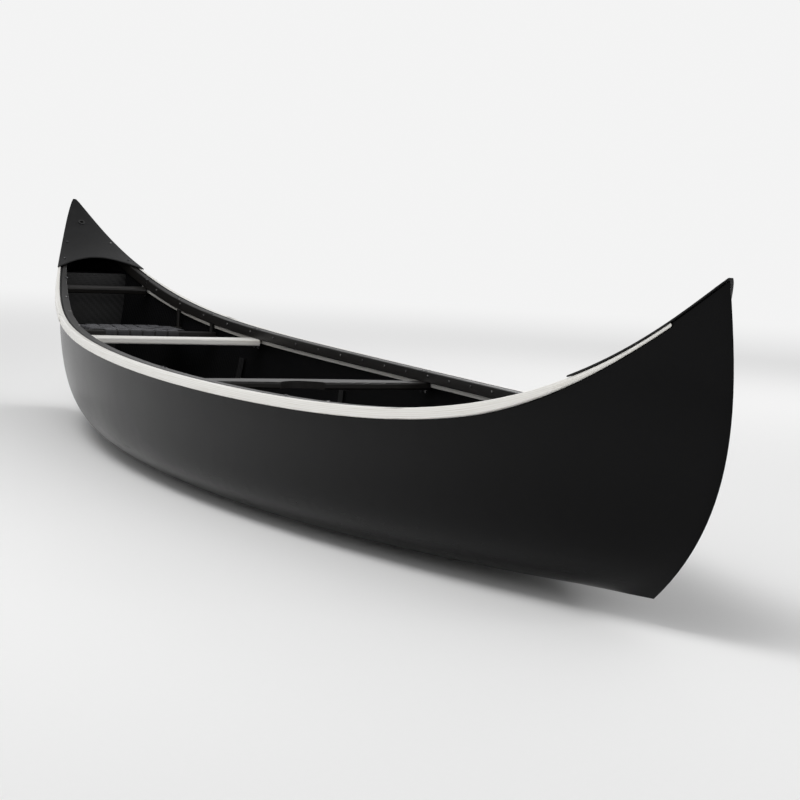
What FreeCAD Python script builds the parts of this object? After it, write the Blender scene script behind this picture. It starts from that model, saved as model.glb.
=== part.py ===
import FreeCAD, Part
import math
import os
import Sketcher
from FreeCAD import Placement, Rotation, Vector

# Open tandem canoe: +X to the bow, +Y to port, +Z up, origin on the floor under the middle of the keel.

doc = FreeCAD.newDocument("Canoe")
sheet = doc.addObject("Spreadsheet::Sheet", "Dimensions")
cells = {}


def cell(alias, value):
    """Store one plain number in the sheet under its alias."""
    cells[alias] = value
    row = len(cells)
    sheet.set("A%d" % row, alias)
    sheet.set("B%d" % row, "%.6g" % value)
    sheet.setAlias("B%d" % row, alias)


def size(alias):
    return float(cells[alias])


def bind(target, path, alias):
    target.setExpression(path, "Dimensions.%s" % alias)


driving = {
    # hull outline and sections
    "beam": 855, "mid_depth": 346, "end_height": 753, "rocker": 61.5,
    "stem_reach": 2483, "stem_setback": 318, "foot_power": 3.21,
    "stem_return": 83, "return_power": 2.16,
    "sheer_power": 6.05, "sheer_bow_share": 0.8, "plan_power": 0.845,
    "bilge_mid": 2.6, "bilge_end": 1.33, "rise_mid": 3.3, "rise_end": 1.0,
    "tumblehome_mid": 0.04, "flare_end": 0.085,
    "wall": 5, "stem_thickening": 3,
    # gunwales
    "outwale_height": 27, "outwale_width": 18, "outwale_tip_height": 7, "outwale_tip_width": 5,
    "outwale_end": 0.95, "scarf": 0.602,
    "inwale_height": 33, "inwale_width": 25, "inwale_tip_width": 12, "inwale_end": 0.93,
    "bead_height": 15, "bead_width": 9, "bead_end": 0.83, "wale_taper_start": 0.7,
    # decks and end tanks
    "deck_edge": 0.84, "deck_hollow": 0.025, "deck_thickness": 5.5, "deck_camber": 12,
    "deck_lip": 1, "deck_lift": 1,
    "tank_face": 2100, "tank_end": 2360, "tank_height": 498, "tank_panel": 5, "foam_gap": 3,
    # floor and ribs
    "lining": 8, "floor_end": 0.78, "floor_edge": 0.45, "floor_point": 0.12,
    "rib_width": 32, "rib_foot": 0.48, "rib_top": 0.86, "bond_gap": 0.3,
    "rib_first": -0.55, "rib_second": -0.26, "rib_third": 0.17, "rib_fourth": 0.58,
    # bushes for the painter lines, through the decks
    "painter_place": 0.955, "painter_bore": 6.5, "painter_wall": 2.5, "painter_depth": 14,
    "painter_lip_width": 4, "painter_lip": 1.6, "painter_gap": 0.1,
    # crossbars
    "bar_thickness": 22, "thwart_place": -1200, "thwart_end_width": 62, "thwart_waist": 44,
    "yoke_place": 0, "yoke_end_width": 62, "yoke_middle": 108, "neck_radius": 80, "neck_depth": 42,
    "handle_place": 1940, "handle_end_width": 36, "handle_waist": 28, "bar_edge_radius": 6,
    "bar_gap": 0.4, "bar_bolt_pitch": 30, "bar_end_margin": 1.5,
    # seats
    "bow_seat": 970, "stern_seat": -1620, "rail_pitch": 220, "rail_width": 36, "rail_height": 20,
    "rail_edge_radius": 4, "bow_drop": 60, "stern_drop": 30, "side_rail_place": 152,
    "side_rail_width": 30, "web_thickness": 5, "end_margin": 14,
    # fasteners
    "bolt_radius": 3, "bolt_hole_radius": 3.2, "head_radius": 5.5, "head_height": 3.5,
    "spot_radius": 7.6, "spot_depth": 1.6, "bolt_inset": 17, "washer_radius": 7.5, "washer_thickness": 1.5,
    "nut_radius": 5.8, "nut_height": 6, "thread_end": 3, "spacer_radius": 7, "spacer_clearance": 0.6,
    "screw_radius": 2, "screw_head_radius": 4.2, "screw_head_height": 2, "screw_start": -1875,
    "screw_pitch": 160, "screw_count": 24, "screw_bite": 12, "screw_clearance": 0.1, "screw_proud": 0.4,
    "crown_share": 0.65, "head_clearance": 1,
    "deck_screw_first": 2075, "deck_screw_pitch": 110, "deck_screw_bite": 18,
}
for name, number in driving.items():
    cell(name, number)

# how many stations and rows the surfaces are drawn through
hull_stations = 61
hull_rows = 17
wale_stations = 21
wale_rows = 4
deck_stations = 13
deck_rows = 9
tank_stations = 9
tank_rows = 15
tip_crowding = 1.6

# ---------------------------------------------------------------- hull form


def stem(t):
    """Half length of the hull at relative height t: the cutaway foot below, the return above."""
    foot = size("stem_setback") * (1 - t) ** size("foot_power")
    back = size("stem_return") * t ** size("return_power")
    return size("stem_reach") - foot - back


def sheer(x):
    """Height of the gunwale line, low amidships and sweeping up to the ends."""
    q = abs(x) / stem(1)
    share = size("sheer_bow_share")
    rise = share * q ** size("sheer_power") + (1 - share) * q ** 2
    return size("mid_depth") + (size("end_height") - size("mid_depth")) * rise


def keel(x):
    return size("rocker") * (abs(x) / stem(0)) ** 3


def hull_point(s, t, inset):
    """Port side point: s runs stern to bow, t keel to gunwale, inset goes into the wall."""
    back = size("stem_thickening") * inset
    x = s * (stem(t) - back)
    top = sheer(s * (stem(1) - back))
    bottom = keel(s * (stem(0) - back)) + inset
    w = s * s
    bilge = size("bilge_mid") * (1 - w) + size("bilge_end") * w
    rise = size("rise_mid") * (1 - w) + size("rise_end") * w
    bulge = size("tumblehome_mid") * (1 - w) - size("flare_end") * w
    fullness = (1 - (1 - t) ** bilge) * (1 + bulge * 4 * t * (1 - t))
    half = (size("beam") / 2 - inset) * max(1 - w, 0) ** size("plan_power")
    return Vector(x, half * fullness, bottom + (top - bottom) * t ** rise)


def height_share(s, inset, drop):
    """The t of the point that lies drop below the gunwale."""
    top = hull_point(s, 1, inset).z
    bottom = hull_point(s, 0, inset).z
    w = s * s
    rise = size("rise_mid") * (1 - w) + size("rise_end") * w
    return ((top - drop - bottom) / (top - bottom)) ** (1 / rise)


def plan_normal(s, inset):
    """Outward horizontal normal of the gunwale line on the port side."""
    step = 0.001
    along = hull_point(s + step, 1, inset) - hull_point(s - step, 1, inset)
    normal = Vector(-along.y, along.x, 0)
    return normal.normalize()


def half_breadth(x, z, inset):
    """Half breadth of the hull at a place and height, found by bisection on t."""
    low = 0.0
    high = 1.0
    back = size("stem_thickening") * inset
    for step in range(40):
        t = (low + high) / 2
        point = hull_point(x / (stem(t) - back), t, inset)
        if point.z < z:
            low = t
        else:
            high = t
    return point.y


def wale_place(x, depth):
    """Half breadth of a fastener that stands depth inside the inner face of the hull at the gunwale."""
    s = x / (stem(1) - size("stem_thickening") * size("wall"))
    normal = plan_normal(s, size("wall"))
    return hull_point(s, 1, size("wall")).y - depth / normal.y


def slope(x):
    step = 1.0
    return math.atan2(sheer(x + step) - sheer(x - step), 2 * step)


# ---------------------------------------------------------------- surface tools


def spread(first, last, count):
    """Stations that crowd towards the ends of the hull, where it curves most."""
    start = math.asin(first)
    stop = math.asin(last)
    return [math.sin(start + (stop - start) * i / (count - 1)) for i in range(count)]


def even(first, last, count):
    return [first + (last - first) * i / (count - 1) for i in range(count)]


def surface(rows):
    patch = Part.BSplineSurface()
    patch.interpolate(rows)
    return patch


def edge_of(patch, side):
    u_first, u_last, v_first, v_last = patch.bounds()
    if side == "start":
        return patch.uIso(u_first).toShape()
    if side == "finish":
        return patch.uIso(u_last).toShape()
    if side == "bottom":
        return patch.vIso(v_first).toShape()
    return patch.vIso(v_last).toShape()


def walls(one, other, sides):
    return [Part.makeRuledSurface(edge_of(one, side), edge_of(other, side)) for side in sides]


def sewn(faces):
    """Solid enclosed by faces that meet edge to edge. The first face has to look out of the solid."""
    skin = Part.Compound(faces)
    skin.sewShape()
    solid = Part.Solid(skin.Shells[0])
    if solid.Volume < 0:
        raise RuntimeError("the first face looks into the solid")
    return solid


def other_side(shape):
    return shape.mirror(Vector(0, 0, 0), Vector(0, 1, 0))


def other_end(shape):
    return shape.mirror(Vector(0, 0, 0), Vector(1, 0, 0))


def hull_layer(s_list, top, rows, inner, outer, sides):
    """Port and starboard layer between two insets, from the keel up to the t that top gives."""
    near = surface([[hull_point(s, t, outer) for t in even(0, top(s), rows)] for s in s_list])
    far = surface([[hull_point(s, t, inner) for t in even(0, top(s), rows)] for s in s_list])
    port = [far.toShape(), near.toShape()] + walls(near, far, sides)
    return sewn(port + [other_side(face) for face in port])


def hull_strip(s_list, low, high, inset, width, rows):
    """Strip on the port hull side between two t functions, with a width along the normal and a level top."""
    base = []
    for s in s_list:
        base.append([hull_point(s, t, inset) for t in even(low(s), high(s), rows)])
    away = []
    for s, row in zip(s_list, base):
        shift = plan_normal(s, inset) * width(s)
        rim = row[-1].x
        shift.z = sheer(rim + shift.x) - sheer(rim)
        away.append([point + shift for point in row])
    near = surface(base)
    far = surface(away)
    skins = [near.toShape(), far.toShape()]
    if width(0) < 0:
        skins.reverse()
    return sewn(skins + walls(near, far, ["start", "finish", "bottom", "top"]))


def tapered(s, full, tip, end):
    """Full size up to the taper's start, then a smooth fall to the tip size at the end."""
    start = size("wale_taper_start")
    run = min(max((abs(s) - start) / (end - start), 0), 1)
    return full + (tip - full) * run * run * (3 - 2 * run)


# ---------------------------------------------------------------- document tools

parts_made = []


def finished(thing, label):
    thing.Label = label
    parts_made.append(thing)
    return thing


def shaped(label, shape):
    """Part whose shape is built by the hull formulas from the sheet's sizes."""
    thing = doc.addObject("Part::Feature", label)
    thing.Shape = shape
    thing.Placement = Placement()
    return finished(thing, label)


def cylinder(radius, length, place):
    return Part.makeCylinder(radius, length, place.Base, place.Rotation.multVec(Vector(0, 0, 1)))


def upright(x, y, z):
    return Placement(Vector(x, y, z), Rotation())


def origin_plane(body, role):
    for feature in body.Origin.OriginFeatures:
        if feature.Role == role:
            return feature


def new_sketch(body, name):
    sketch = body.newObject("Sketcher::SketchObject", name)
    sketch.AttachmentSupport = [(origin_plane(body, "XY_Plane"), "")]
    sketch.MapMode = "FlatFace"
    return sketch


def bar_outline(sketch, length, end_width, waist, aliases):
    """Closed outline along Y with square ends and long sides that bow to the waist width."""
    corners = [Vector(-end_width / 2, -length / 2, 0), Vector(end_width / 2, -length / 2, 0),
               Vector(end_width / 2, length / 2, 0), Vector(-end_width / 2, length / 2, 0)]
    first_end = sketch.addGeometry(Part.LineSegment(corners[0], corners[1]))
    if waist == end_width:
        right = sketch.addGeometry(Part.LineSegment(corners[1], corners[2]))
        last_end = sketch.addGeometry(Part.LineSegment(corners[2], corners[3]))
        left = sketch.addGeometry(Part.LineSegment(corners[3], corners[0]))
        joins = [(first_end, 2, right, 1), (right, 2, last_end, 1),
                 (last_end, 2, left, 1), (left, 2, first_end, 1)]
    else:
        right = sketch.addGeometry(Part.Arc(corners[1], Vector(waist / 2, 0, 0), corners[2]))
        last_end = sketch.addGeometry(Part.LineSegment(corners[2], corners[3]))
        left = sketch.addGeometry(Part.Arc(corners[3], Vector(-waist / 2, 0, 0), corners[0]))
        joins = []
        meets = ((first_end, 2, right), (last_end, 1, right), (last_end, 2, left), (first_end, 1, left))
        for line, corner, arc in meets:
            target = sketch.getPoint(line, corner)
            near = sketch.getPoint(arc, 1)
            arc_end = 1 if (near - target).Length < 0.01 else 2
            joins.append((line, corner, arc, arc_end))
    for join in joins:
        sketch.addConstraint(Sketcher.Constraint("Coincident", *join))
    sketch.addConstraint(Sketcher.Constraint("Horizontal", first_end))
    sketch.addConstraint(Sketcher.Constraint("Horizontal", last_end))
    sketch.addConstraint(Sketcher.Constraint("Symmetric", first_end, 1, last_end, 1, -1, 1))
    wide = sketch.addConstraint(Sketcher.Constraint("DistanceX", first_end, 1, first_end, 2, end_width))
    tall = sketch.addConstraint(Sketcher.Constraint("DistanceY", first_end, 2, last_end, 1, length))
    bind(sketch, "Constraints[%d]" % wide, aliases[1])
    bind(sketch, "Constraints[%d]" % tall, aliases[0])


def bar(label, aliases, thickness, edge_radius, holes, place):
    """Flat bar along Y made as a body: padded outline, rounded long edges and bolt holes."""
    length, end_width, waist = [size(alias) for alias in aliases]
    body = doc.addObject("PartDesign::Body", label)
    outline = new_sketch(body, label + "_outline")
    bar_outline(outline, length, end_width, waist, aliases)
    pad = body.newObject("PartDesign::Pad", label + "_pad")
    pad.Profile = outline
    bind(pad, "Length", thickness)
    doc.recompute()
    long_edges = []
    for index, edge in enumerate(pad.Shape.Edges):
        if edge.Length > 0.8 * length:
            long_edges.append("Edge%d" % (index + 1))
    fillet = body.newObject("PartDesign::Fillet", label + "_rounding")
    fillet.Base = (pad, long_edges)
    bind(fillet, "Radius", edge_radius)
    doc.recompute()
    if holes:
        drill = new_sketch(body, label + "_holes")
        for x, y in holes:
            ring = Part.Circle(Vector(x, y, 0), Vector(0, 0, 1), size("bolt_hole_radius"))
            circle = drill.addGeometry(ring)
            hole = drill.addConstraint(Sketcher.Constraint("Radius", circle, size("bolt_hole_radius")))
            bind(drill, "Constraints[%d]" % hole, "bolt_hole_radius")
        pocket = body.newObject("PartDesign::Pocket", label + "_drilling")
        pocket.Profile = drill
        pocket.Type = "ThroughAll"
        pocket.Reversed = True
        doc.recompute()
        if pocket.Shape.Volume > fillet.Shape.Volume - 1:
            pocket.Reversed = False
            doc.recompute()
    body.Placement = place
    return finished(body, label)


def group(label, prototypes, places):
    """Identical small parts as separate solids in one node."""
    solids = []
    for prototype, place in zip(prototypes, places):
        solid = prototype.copy()
        solid.Placement = place
        solids.append(solid)
    return shaped(label, Part.makeCompound(solids))


# ---------------------------------------------------------------- fasteners


def bolt(length):
    """Button head bolt, head above the local origin and shank below it."""
    head = Part.makeCylinder(size("head_radius"), size("head_height"))
    crown = [edge for edge in head.Edges if edge.Closed and edge.CenterOfMass.z > size("head_height") / 2]
    head = head.makeFillet(size("head_height") * size("crown_share"), crown)
    shank = Part.makeCylinder(size("bolt_radius"), length, Vector(0, 0, -length))
    return head.fuse(shank).removeSplitter()


def tube(radius, bore, length):
    outer = Part.makeCylinder(radius, length, Vector(0, 0, -length))
    return outer.cut(Part.makeCylinder(bore, length, Vector(0, 0, -length)))


def nut():
    corners = [Vector(size("nut_radius") * math.cos(math.radians(60 * i)),
                      size("nut_radius") * math.sin(math.radians(60 * i)), 0) for i in range(7)]
    block = Part.Face(Part.makePolygon(corners)).extrude(Vector(0, 0, -size("nut_height")))
    thread = Part.makeCylinder(size("bolt_radius"), size("nut_height"), Vector(0, 0, -size("nut_height")))
    return block.cut(thread)


def screw(length):
    """Raised head wood screw along its own -Z with a tapered point."""
    head = Part.makeCylinder(size("screw_head_radius"), size("screw_head_height"))
    middle = size("screw_head_height") / 2
    crown = [edge for edge in head.Edges if edge.Closed and edge.CenterOfMass.z > middle]
    head = head.makeFillet(size("screw_head_height") * size("crown_share"), crown)
    point = 2 * size("screw_radius")
    shank = Part.makeCylinder(size("screw_radius"), length - point, Vector(0, 0, point - length))
    cone = Part.makeCone(size("screw_radius") / 5, size("screw_radius"), point, Vector(0, 0, -length))
    return head.fuse([shank, cone]).removeSplitter()


inwale_cuts = {"port": [], "starboard": []}
bead_cuts = {"port": [], "starboard": []}
hull_cuts = []
outwale_cuts = {"port": [], "starboard": []}
hands = {"port": 1, "starboard": -1}

# crossbars: thwart and yoke with two bolts an end, carry handles with one

bar_bolts = []
bar_specs = [
    ("thwart_stern", "thwart_place", 1, "thwart_end_width", "thwart_waist", 2),
    ("centre_yoke", "yoke_place", 1, "yoke_end_width", "yoke_middle", 2),
    ("carry_handle_bow", "handle_place", 1, "handle_end_width", "handle_waist", 1),
    ("carry_handle_stern", "handle_place", -1, "handle_end_width", "handle_waist", 1),
]
bar_bolt_length = (size("inwale_height") + size("bar_gap") + size("bar_thickness") + size("washer_thickness")
                   + size("nut_height") + size("thread_end"))


def crossbar_frame(x):
    """Local frame on the gunwale line at x, tilted with it, so that bars lie flat under the inwales."""
    return Placement(Vector(x, 0, sheer(x)), Rotation(Vector(0, 1, 0), -math.degrees(slope(x))))


bar_places = []
for label, place_alias, direction, end_alias, waist_alias, bolts_an_end in bar_specs:
    x = size(place_alias) * direction
    frame = crossbar_frame(x)
    half_widths = []
    for corner in (-size(end_alias) / 2, size(end_alias) / 2):
        for drop in (size("inwale_height"), size("inwale_height") + size("bar_thickness")):
            at = frame.multVec(Vector(corner, 0, -drop))
            half_widths.append(half_breadth(at.x, at.z, size("wall")))
    half_length = min(half_widths) - size("bead_width") - size("bar_end_margin")
    cell(label + "_length", 2 * half_length)
    offsets = [0.0]
    if bolts_an_end == 2:
        offsets = [-size("bar_bolt_pitch") / 2, size("bar_bolt_pitch") / 2]
    holes = []
    for offset in offsets:
        across = wale_place(frame.multVec(Vector(offset, 0, 0)).x, size("bolt_inset"))
        for hand in (1, -1):
            holes.append((offset, hand * across))
            side = "port" if hand > 0 else "starboard"
            top = frame.multiply(upright(offset, hand * across, 0))
            bar_bolts.append((label, top))
            shaft = frame.multiply(upright(offset, hand * across, -2 * size("inwale_height")))
            inwale_cuts[side].append(cylinder(size("bolt_hole_radius"), 4 * size("inwale_height"), shaft))
            bead_cuts[side].append(inwale_cuts[side][-1])
            seat = frame.multiply(upright(offset, hand * across, -size("spot_depth")))
            spot = size("head_radius") + size("head_clearance")
            inwale_cuts[side].append(cylinder(spot, 4 * size("spot_depth"), seat))
    lift = -size("inwale_height") - size("bar_gap") - size("bar_thickness")
    place = frame.multiply(upright(0, 0, lift))
    aliases = (label + "_length", end_alias, waist_alias)
    made = bar(label, aliases, "bar_thickness", "bar_edge_radius", holes, place)
    if label == "centre_yoke":
        neck = new_sketch(made, "neck_outline")
        centre = size("yoke_middle") / 2 + size("neck_radius") - size("neck_depth")
        ring = neck.addGeometry(Part.Circle(Vector(centre, 0, 0), Vector(0, 0, 1), size("neck_radius")))
        reach = neck.addConstraint(Sketcher.Constraint("Radius", ring, size("neck_radius")))
        bind(neck, "Constraints[%d]" % reach, "neck_radius")
        before = made.Shape.Volume
        notch = made.newObject("PartDesign::Pocket", "neck_hollow")
        notch.Profile = neck
        notch.Type = "ThroughAll"
        notch.Reversed = True
        doc.recompute()
        if made.Shape.Volume > before - 1:
            notch.Reversed = False
            doc.recompute()

for kind, owners in (("crossbar", ("thwart_stern", "centre_yoke")),
                     ("handle", ("carry_handle_bow", "carry_handle_stern"))):
    tops = [frame for label, frame in bar_bolts if label in owners]
    below = size("spot_depth") - size("inwale_height") - size("bar_gap") - size("bar_thickness")
    heads = [top.multiply(upright(0, 0, -size("spot_depth"))) for top in tops]
    washers = [head.multiply(upright(0, 0, below)) for head in heads]
    nuts = [washer.multiply(upright(0, 0, -size("washer_thickness"))) for washer in washers]
    length = bar_bolt_length - size("spot_depth")
    group(kind + "_bolts", [bolt(length)] * len(heads), heads)
    ring = tube(size("washer_radius"), size("bolt_hole_radius"), size("washer_thickness"))
    group(kind + "_washers", [ring] * len(washers), washers)
    group(kind + "_nuts", [nut()] * len(nuts), nuts)

# seats: level frames hung from the inwales on bolts and spacers


def seat(end, x, drop):
    pitch = size("rail_pitch")
    low = min(sheer(x - pitch / 2), sheer(x + pitch / 2))
    top = low - size("inwale_height") - drop
    bottom = top - size("rail_height")
    bolts = []
    heads = []
    spacers = []
    spacer_places = []
    washers = []
    nuts = []
    for name, place in (("forward", x + pitch / 2), ("aft", x - pitch / 2)):
        across = wale_place(place, size("bolt_inset"))
        room = min(half_breadth(place + dx, bottom, size("wall"))
                   for dx in (-size("rail_width") / 2, size("rail_width") / 2))
        half_length = min(across + size("end_margin"), room - size("bar_end_margin"))
        alias = "%s_seat_%s_length" % (end, name)
        cell(alias, 2 * half_length)
        label = "seat_%s_%s_rail" % (end, name)
        holes = [(0, across), (0, -across)]
        bar(label, (alias, "rail_width", "rail_width"), "rail_height", "rail_edge_radius", holes,
            upright(place, 0, bottom))
        for side, hand in hands.items():
            head = sheer(place) - size("spot_depth")
            under = sheer(place) - size("inwale_height") + size("spot_depth")
            length = head - bottom + size("washer_thickness") + size("nut_height") + size("thread_end")
            bolts.append(bolt(length))
            heads.append(upright(place, hand * across, head))
            spacers.append(tube(size("spacer_radius"), size("bolt_hole_radius"), under - top))
            spacer_places.append(upright(place, hand * across, under))
            washers.append(upright(place, hand * across, bottom))
            nuts.append(upright(place, hand * across, bottom - size("washer_thickness")))
            height = size("inwale_height")
            shaft = upright(place, hand * across, head - 3 * height)
            recess = upright(place, hand * across, head)
            socket = upright(place, hand * across, under - height / 3)
            inwale_cuts[side].append(cylinder(size("bolt_hole_radius"), 4 * height, shaft))
            counterbore = size("head_radius") + size("head_clearance")
            inwale_cuts[side].append(cylinder(counterbore, height / 2, recess))
            inwale_cuts[side].append(cylinder(size("spot_radius"), height / 3, socket))
            bead_cuts[side].append(cylinder(size("spacer_radius") + size("spacer_clearance"), under - top,
                                            upright(place, hand * across, top)))
    inner = pitch - size("rail_width")
    cell("%s_side_rail_length" % end, inner)
    for side, hand in hands.items():
        label = "seat_%s_side_rail_%s" % (end, side)
        body = doc.addObject("Part::Box", label)
        bind(body, "Length", "%s_side_rail_length" % end)
        bind(body, "Width", "side_rail_width")
        bind(body, "Height", "rail_height")
        edge = hand * size("side_rail_place") - size("side_rail_width") / 2
        body.Placement = upright(x - inner / 2, edge, bottom)
        finished(body, label)
    cell("%s_web_length" % end, pitch + size("rail_width") - 2)
    cell("%s_web_width" % end, 2 * size("side_rail_place") + size("side_rail_width") - 2)
    panel = doc.addObject("Part::Box", "seat_%s_webbing" % end)
    bind(panel, "Length", "%s_web_length" % end)
    bind(panel, "Width", "%s_web_width" % end)
    bind(panel, "Height", "web_thickness")
    panel.Placement = upright(x - size("%s_web_length" % end) / 2, -size("%s_web_width" % end) / 2, top)
    finished(panel, "seat_%s_webbing" % end)
    group("seat_%s_bolts" % end, bolts, heads)
    group("seat_%s_spacers" % end, spacers, spacer_places)
    ring = tube(size("washer_radius"), size("bolt_hole_radius"), size("washer_thickness"))
    group("seat_%s_washers" % end, [ring] * 4, washers)
    group("seat_%s_nuts" % end, [nut()] * 4, nuts)


seat("bow", size("bow_seat"), size("bow_drop"))
seat("stern", size("stern_seat"), size("stern_drop"))

# gunwale screws: driven from inside through the inwale and the hull into the outwale

screw_length = size("inwale_width") + size("wall") + size("screw_bite")
for side, hand in hands.items():
    places = []
    for index in range(int(size("screw_count"))):
        x = size("screw_start") + size("screw_pitch") * index
        s = x / (stem(1) - size("stem_thickening") * size("wall"))
        normal = plan_normal(s, size("wall"))
        t = height_share(s, size("wall"), size("outwale_height") / 2)
        width = tapered(s, size("inwale_width"), size("inwale_tip_width"), size("inwale_end"))
        start = hull_point(s, t, size("wall")) - normal * (width + size("screw_proud"))
        aim = Vector(-normal.x, -normal.y * hand, 0)
        start.y = start.y * hand
        place = Placement(start, Rotation(Vector(0, 0, 1), aim))
        places.append(place)
        shaft = place.multiply(upright(0, 0, -screw_length - 0.5))
        hole = cylinder(size("screw_radius") + size("screw_clearance"), screw_length + 1, shaft)
        inwale_cuts[side].append(hole)
        outwale_cuts[side].append(hole)
        hull_cuts.append(hole)
    group("gunwale_screws_" + side, [screw(screw_length)] * len(places), places)

# ---------------------------------------------------------------- deck form, its screws and bushes


def outwale_width(s):
    return tapered(s, size("outwale_width"), size("outwale_tip_width"), size("outwale_end"))


def deck_rim(s):
    """Edge of the deck on the port side, a lip outside the outwale."""
    return hull_point(s, 1, 0) + plan_normal(s, 0) * (outwale_width(s) + size("deck_lip"))


def deck_at(s, v, lift):
    """Deck point at the hull station s, with v from starboard -1 to port +1."""
    rim = deck_rim(s)
    run = (s - size("deck_edge")) / (1 - size("deck_edge"))
    camber = size("deck_camber") * (1 - run) * (1 - v * v)
    return Vector(rim.x, v * rim.y, sheer(rim.x) + camber + lift)


def deck_frame(s, across):
    """Local frame on the top of the bow deck, square to it along the boat."""
    step = 0.001
    v = across / deck_rim(s).y
    along = deck_at(s + step, v, 0) - deck_at(s - step, v, 0)
    tilt = math.degrees(math.atan2(along.z, along.x))
    return Placement(deck_at(s, v, size("deck_thickness")), Rotation(Vector(0, 1, 0), -tilt))


def to_stern(frame):
    """The same frame at the other end, turned half round the middle of the boat."""
    return Placement(Vector(), Rotation(Vector(0, 0, 1), 180)).multiply(frame)


# deck screws: down through the deck into the inwales

deck_cuts = {"bow": [], "stern": []}
deck_screws = []
screw_reach = size("deck_thickness") + size("deck_screw_bite")
for step in (0, 1):
    s = (size("deck_screw_first") + step * size("deck_screw_pitch")) / stem(1)
    across = wale_place(deck_rim(s).x, size("inwale_tip_width") / 2)
    for hand in (1, -1):
        frame = deck_frame(s, hand * across).multiply(upright(0, 0, size("screw_proud")))
        for end, head in (("bow", frame), ("stern", to_stern(frame))):
            deck_screws.append(head)
            shaft = head.multiply(upright(0, 0, -screw_reach - size("screw_proud")))
            hole = cylinder(size("screw_radius") + size("screw_clearance"), screw_reach + 1, shaft)
            deck_cuts[end].append(hole)
            inwale_cuts["port" if head.Base.y > 0 else "starboard"].append(hole)
group("deck_screws", [screw(screw_reach)] * len(deck_screws), deck_screws)

# painter bushes: flanged liners through the decks near the tips

cell("painter_radius", size("painter_bore") + size("painter_wall"))
cell("painter_lip_radius", size("painter_radius") + size("painter_lip_width"))
cell("painter_length", size("painter_depth") + size("painter_lip"))
frame = deck_frame(size("painter_place"), 0)
for end, top in (("bow", frame), ("stern", to_stern(frame))):
    sleeve = doc.addObject("Part::Cylinder", "painter_%s_sleeve" % end)
    bind(sleeve, "Radius", "painter_radius")
    bind(sleeve, "Height", "painter_length")
    flange = doc.addObject("Part::Cylinder", "painter_%s_flange" % end)
    bind(flange, "Radius", "painter_lip_radius")
    bind(flange, "Height", "painter_lip")
    flange.Placement = upright(0, 0, size("painter_depth"))
    body = doc.addObject("Part::Fuse", "painter_%s_body" % end)
    body.Base = sleeve
    body.Tool = flange
    core = doc.addObject("Part::Cylinder", "painter_%s_core" % end)
    bind(core, "Radius", "painter_bore")
    bind(core, "Height", "painter_length")
    bush = doc.addObject("Part::Cut", "painter_bush_" + end)
    bush.Base = body
    bush.Tool = core
    bush.Placement = top.multiply(upright(0, 0, size("painter_gap") - size("painter_depth")))
    finished(bush, "painter_bush_" + end)
    around = top.multiply(upright(0, 0, -size("painter_depth")))
    radius = size("painter_radius") + size("painter_gap")
    deck_cuts[end].append(cylinder(radius, 2 * size("painter_depth"), around))

# ---------------------------------------------------------------- hull, floor and ribs


def top_edge(s):
    return 1.0


def floor_edge(s):
    """The floor panel is widest amidships and rounds in to blunt points."""
    run = abs(s) / size("floor_end")
    return size("floor_edge") * (1 - (1 - size("floor_point")) * run ** 3)


wall = size("wall")
shell = hull_layer(spread(-1, 1, hull_stations), top_edge, hull_rows, wall, 0, ["top"])
shaped("hull_shell", shell.cut(hull_cuts))

gap = size("bond_gap")
floor_end = size("floor_end")
shaped("floor_core", hull_layer(spread(-floor_end, floor_end, hull_stations // 2), floor_edge, hull_rows // 2,
                                wall + size("lining"), wall + gap, ["start", "finish", "top"]))

for index, alias in enumerate(("rib_first", "rib_second", "rib_third", "rib_fourth")):
    half = size("rib_width") / 2 / stem(1)
    s_list = even(size(alias) - half, size(alias) + half, 3)
    t_list = even(size("rib_foot"), size("rib_top"), hull_rows // 2)
    near = surface([[hull_point(s, t, wall + gap) for t in t_list] for s in s_list])
    far = surface([[hull_point(s, t, wall + size("lining")) for t in t_list] for s in s_list])
    rib = sewn([far.toShape(), near.toShape()] + walls(near, far, ["start", "finish", "bottom", "top"]))
    shaped("side_rib_%d_port" % (index + 1), rib)
    shaped("side_rib_%d_starboard" % (index + 1), other_side(rib))

# ---------------------------------------------------------------- gunwales


def outwale_low(s):
    height = tapered(s, size("outwale_height"), size("outwale_tip_height"), size("outwale_end"))
    return height_share(s, 0, height)


def inwale_low(s):
    return height_share(s, wall, size("inwale_height"))


def inwale_width(s):
    return -tapered(s, size("inwale_width"), size("inwale_tip_width"), size("inwale_end"))


def bead_low(s):
    return height_share(s, wall, size("inwale_height") + size("bead_height"))


def bead_width(s):
    return -size("bead_width")


def lengths(end, low, high, inset, width):
    """A wale in three lengths: a long middle one, and one bent up to each end and joined at the scarf."""
    joint = size("scarf")
    runs = [(-end, -joint), (-joint, joint), (joint, end)]
    return [hull_strip(spread(first, last, wale_stations), low, high, inset, width, wale_rows)
            for first, last in runs]


def wale(label, solids, side, cuts):
    """The three lengths of one side as separate solids in one node, with the holes of their fasteners."""
    if side == "starboard":
        solids = [other_side(solid) for solid in solids]
    shaped(label + side, Part.makeCompound([solid.cut(cuts[side]) for solid in solids]))


outwale = lengths(size("outwale_end"), outwale_low, top_edge, 0, outwale_width)
inwale = lengths(size("inwale_end"), inwale_low, top_edge, wall, inwale_width)
bead_end = size("bead_end")
bead_stations = spread(-bead_end, bead_end, 2 * wale_stations)
bead = hull_strip(bead_stations, bead_low, inwale_low, wall, bead_width, wale_rows)
for side in hands:
    wale("outwale_", outwale, side, outwale_cuts)
    wale("inwale_", inwale, side, inwale_cuts)
    wale("inwale_bead_", [bead], side, bead_cuts)

# ---------------------------------------------------------------- decks


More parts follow.
